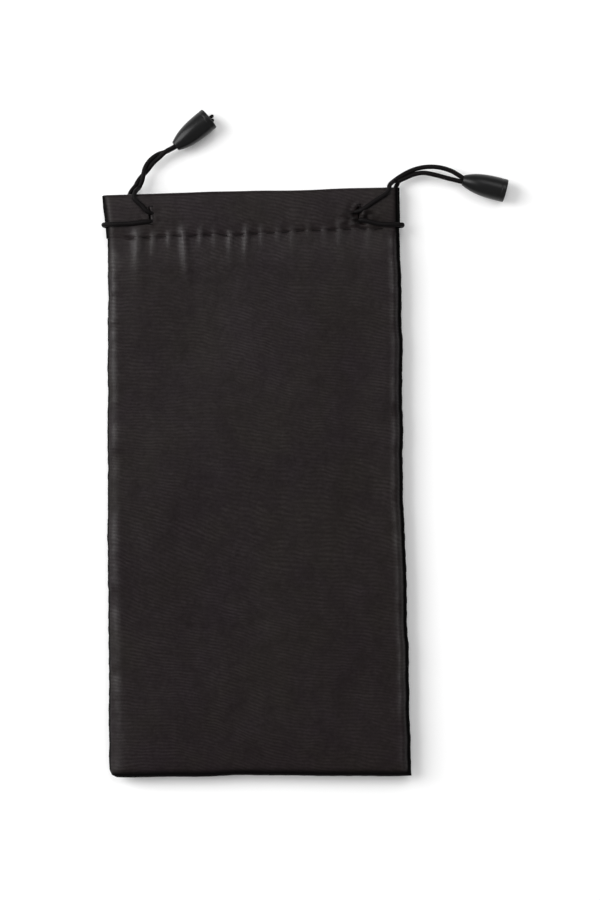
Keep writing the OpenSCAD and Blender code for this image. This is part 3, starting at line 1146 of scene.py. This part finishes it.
def straighten(paths, side):
    """Moves, one for each ring, that lay both strands straight where the cord end slides over them."""
    u, hinge = np.array(tail_heading(side)), np.array(HINGE[side])
    reach = np.linspace(0, BARE + 7, 200)
    rows = []
    for p in paths:
        along = ((p - hinge) @ u)[::-1]
        rows.append(np.stack([np.interp(reach, along, p[::-1, k]) for k in range(3)], 1))
    half = (rows[0] - rows[1]) / 2
    tight = half * np.minimum(1, PAIR_OFF / np.linalg.norm(half, axis=1))[:, None]
    moves = []
    for sign, p, row in zip((1, -1), paths, rows):
        change = hinge + reach[:, None] * u + sign * tight - row
        along = (p - hinge) @ u
        step = np.stack([np.interp(along, reach, change[:, k]) for k in range(3)], 1)
        moves.append(step * smooth(along, BARE - SLIDE - 2.5, BARE - SLIDE - 0.3)[:, None])
    return moves


def knot_data(side):
    """An overhand knot at the end of the doubled cord, and the stub beyond it."""
    u = tail_heading(side)
    at = HINGE[side] + u * (BARE + KNOT_AT)
    across = Vector((-u.y, u.x, 0))
    up = Vector((0, 0, 1))
    loop = []
    for t in np.linspace(0, 2 * math.pi, 60, endpoint=False):
        a = (math.sin(t) + 2 * math.sin(2 * t)) * 0.42
        b = (math.cos(t) - 2 * math.cos(2 * t)) * 0.42
        c = -math.sin(3 * t) * 0.55
        loop.append(tuple(at + across * a + up * b + u * c))
    loop.append(loop[0])
    parts = [tube_data(spline(loop, PATH_STEP), CORD_R * 0.92, 20, braid_relief, BRAID_DEPTH)]
    reach = 7.4 if side == "left" else 4.9  # of the stub
    for k in (-1, 1):
        stub = [at + across * (0.3 * k), at + u * (reach * 0.55) + across * (0.5 * k - 0.3),
                at + u * (reach - 0.35 + 0.35 * k) + across * (0.52 * k - 0.62)]
        path = spline([tuple(p) for p in stub], PATH_STEP)
        parts.append(tube_data(path, STUB_R, 18, braid_relief, BRAID_DEPTH))
    return parts


def bell_data(side):
    """Turned shape of a cord end: outside curve, rim band, mouth, hollow and bore."""
    narrow_r, wide_r, bore_r, hollow_r, shoulder = 1.62, 3.45, 1.29, 2.42, 4.8
    outer = [(narrow_r - 0.22, 0.0), (narrow_r - 0.06, 0.06), (narrow_r, 0.22)]
    for t in np.linspace(0.04, 1, 34):
        grow = 1 - (1 - t) ** 2.9
        outer.append((narrow_r + (wide_r - narrow_r) * grow, 0.22 + t * (BELL_LEN - 1.75 - 0.22)))
    groove = BELL_LEN - 1.45
    outer += [(wide_r - 0.015, groove - 0.1), (wide_r - 0.09, groove), (wide_r - 0.015, groove + 0.1),
              (wide_r, groove + 0.25), (wide_r, BELL_LEN - 0.5)]
    for a in range(15, 91, 15):
        turn = math.radians(a)
        outer.append((wide_r - 0.4 + 0.4 * math.cos(turn), BELL_LEN - 0.4 + 0.4 * math.sin(turn)))
    inner = [(hollow_r + 0.2, BELL_LEN), (hollow_r + 0.05, BELL_LEN - 0.08), (hollow_r, BELL_LEN - 0.3)]
    inner += [(hollow_r, z) for z in np.linspace(BELL_LEN - 2, shoulder + 0.6, 6)]
    inner += [(hollow_r - 0.15, shoulder + 0.2), (hollow_r - 0.5, shoulder), (bore_r + 0.25, shoulder)]
    inner += [(bore_r, shoulder - 0.3), (bore_r, 2.4), (bore_r, 0.35), (bore_r + 0.1, 0.08)]
    profile = outer + inner
    sides = 72
    u = tail_heading(side)
    across = Vector((-u.y, u.x, 0))
    up = Vector((0, 0, 1))
    base = HINGE[side] + u * BARE
    verts = []
    for r, z in profile:
        for k in range(sides):
            a = 2 * math.pi * k / sides
            verts.append(tuple(base + u * z + across * (r * math.cos(a)) + up * (r * math.sin(a))))
    pairs = [(i, (i + 1) % len(profile)) for i in range(len(profile))]
    return np.array(verts), ring_faces(pairs, sides)


for side in ("left", "right"):
    base, tip, bell_body = (f"{side}_{b}" for b in ("tail_base", "tail_tip", "bell"))
    # each strand shares one ring with its length on the pouch
    strands = [strand_path(side, face) for face in ("front", "back")]
    pair = make_object(side + "_cord_pair", [cord(p, slice(0, at + 1)) for p, at in strands])
    finish_piece(pair, "cord", side + "_tail_root")
    moves = np.concatenate(straighten([p[:at + 1] for p, at in strands], side))
    slide = offset_group(side + "_follow_slide", [("end_slide", side + "_bell", side + "_tail_tip", SLIDE)])
    follow(pair, slide, {"end_slide": np.repeat(moves, CORD_SIDES, axis=0)})
    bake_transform(pair)
    knot = finish_piece(make_object(side + "_cord_knot", knot_data(side)), "cord", side + "_tail")
    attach(knot, tip)
    bell = make_object(side + "_bell", [bell_data(side)])
    finish_piece(bell, "cord_end_plastic", side + "_cord_end")
    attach(bell, bell_body)

# the panels come last, because the threads and cords above are laid on them
for panel in PANELS.values():
    on_pouch(panel)

# ---------------------------------------------------------------- stage, light and camera
scene = bpy.context.scene


def make_floor():
    size = 3.0
    corners = [(-size, -size, 0), (size, -size, 0), (size, size, 0), (-size, size, 0)]
    floor = mesh_object("floor", corners, [(0, 1, 2, 3)])
    mat, tree, shader = new_material("floor")
    speck = noise_at(tree, in_mm(tree), 0.02, 3)
    feed_all(tree, shader, {
        "Base Color": mix_colour(tree, speck, (0.90, 0.90, 0.90), (0.93, 0.93, 0.93)),
        "Roughness": 0.9,
        "Specular IOR Level": 0.1,
    })
    floor.data.materials.append(mat)


def area_light(name, place, aim, size, power):
    data = bpy.data.lights.new(name, "AREA")
    data.shape = "RECTANGLE"
    data.size, data.size_y = size
    data.energy = power
    light = new_object(name, data)
    light.location = place
    light.rotation_euler = (Vector(aim) - Vector(place)).to_track_quat("-Z", "Y").to_euler()


def make_world(strength):
    world = bpy.data.worlds.new("studio")
    world.use_nodes = True
    background = world.node_tree.nodes["Background"]
    background.inputs[0].default_value = (1, 1, 1, 1)
    background.inputs[1].default_value = strength
    scene.world = world


def make_camera():
    data = bpy.data.cameras.new("camera")
    data.lens = 85
    data.sensor_width = 36
    camera = new_object("camera", data)
    # straight above, and far enough for the height of the picture to take in 270 mm.
    # The picture is portrait, so the sensor's 36 mm is its height
    view_h = 270 * MM
    distance = view_h * data.lens / data.sensor_width
    camera.location = (13 * MM, 10 * MM, distance)
    camera.rotation_euler = (0, 0, 0)
    scene.camera = camera


make_floor()
make_world(0.52)
area_light("key_left", (-0.75, 0.28, 0.62), (0, 0, 0), (0.6, 0.9), 12)
area_light("fill_top", (0.25, 0.55, 0.9), (0, 0.02, 0), (0.8, 0.5), 3.2)
make_camera()
scene.view_settings.view_transform = "Standard"
